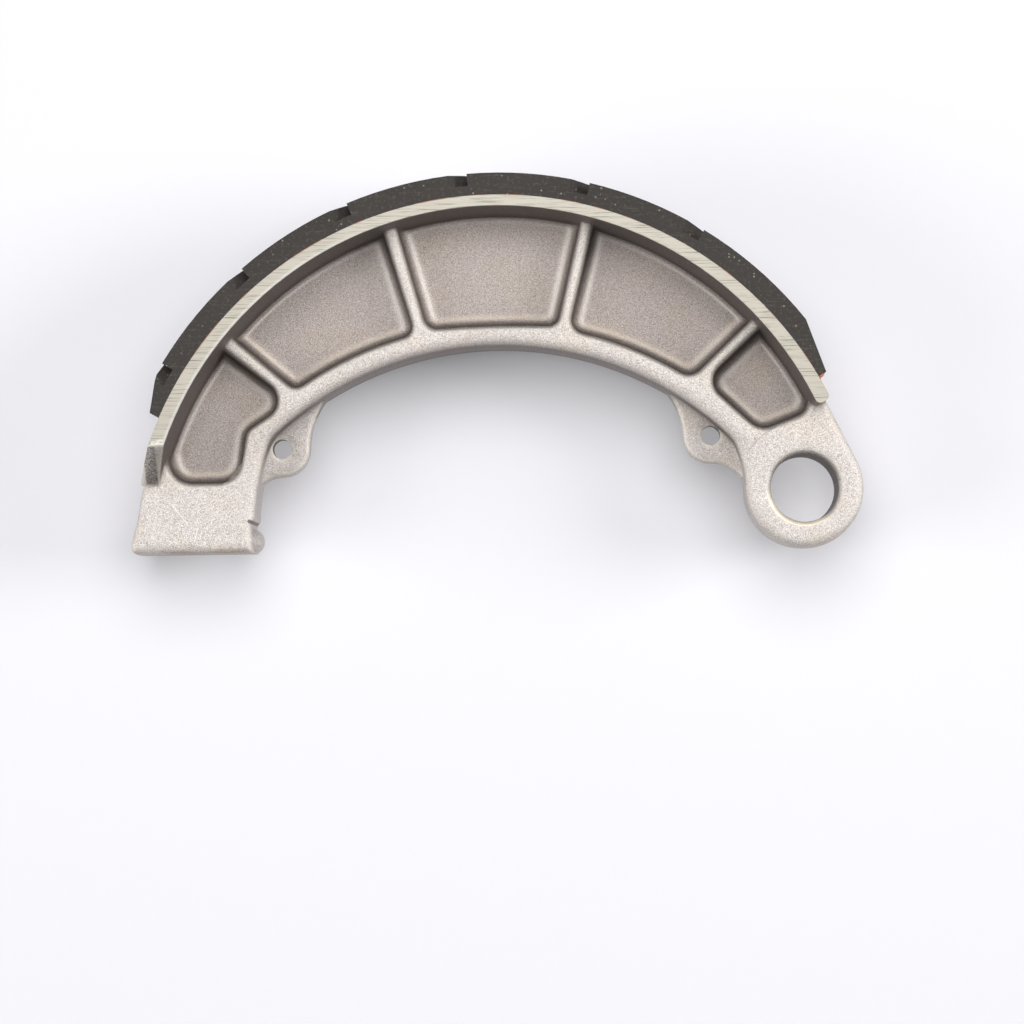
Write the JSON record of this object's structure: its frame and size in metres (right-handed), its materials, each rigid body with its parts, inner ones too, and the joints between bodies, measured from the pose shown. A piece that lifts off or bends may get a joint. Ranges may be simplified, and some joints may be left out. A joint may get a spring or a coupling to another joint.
{
  "type": "brake shoe",
  "caption": "Crescent-shaped cast drum brake shoe with a bonded grooved friction lining; pivots on a pin at one end and is spread by a cam at the other.",
  "frame": {"origin": "on the pivot bore's axis, halfway through the shoe's width", "axes": "+Z along the pivot bore, out of the face that the picture shows; +Y from the pivot towards the lining's crown; the cam foot lies at -X"},
  "size_m": [0.1511, 0.0773, 0.03],
  "materials": {
    "cast_aluminium": "blasted die casting, matt, side edges of the table milled",
    "friction_material": "matt moulded friction material with fine light specks"
  },
  "bodies": {
    "root": {"shoe_casting": "cast_aluminium", "friction_lining": "friction_material"}
  },
  "joints": []
}
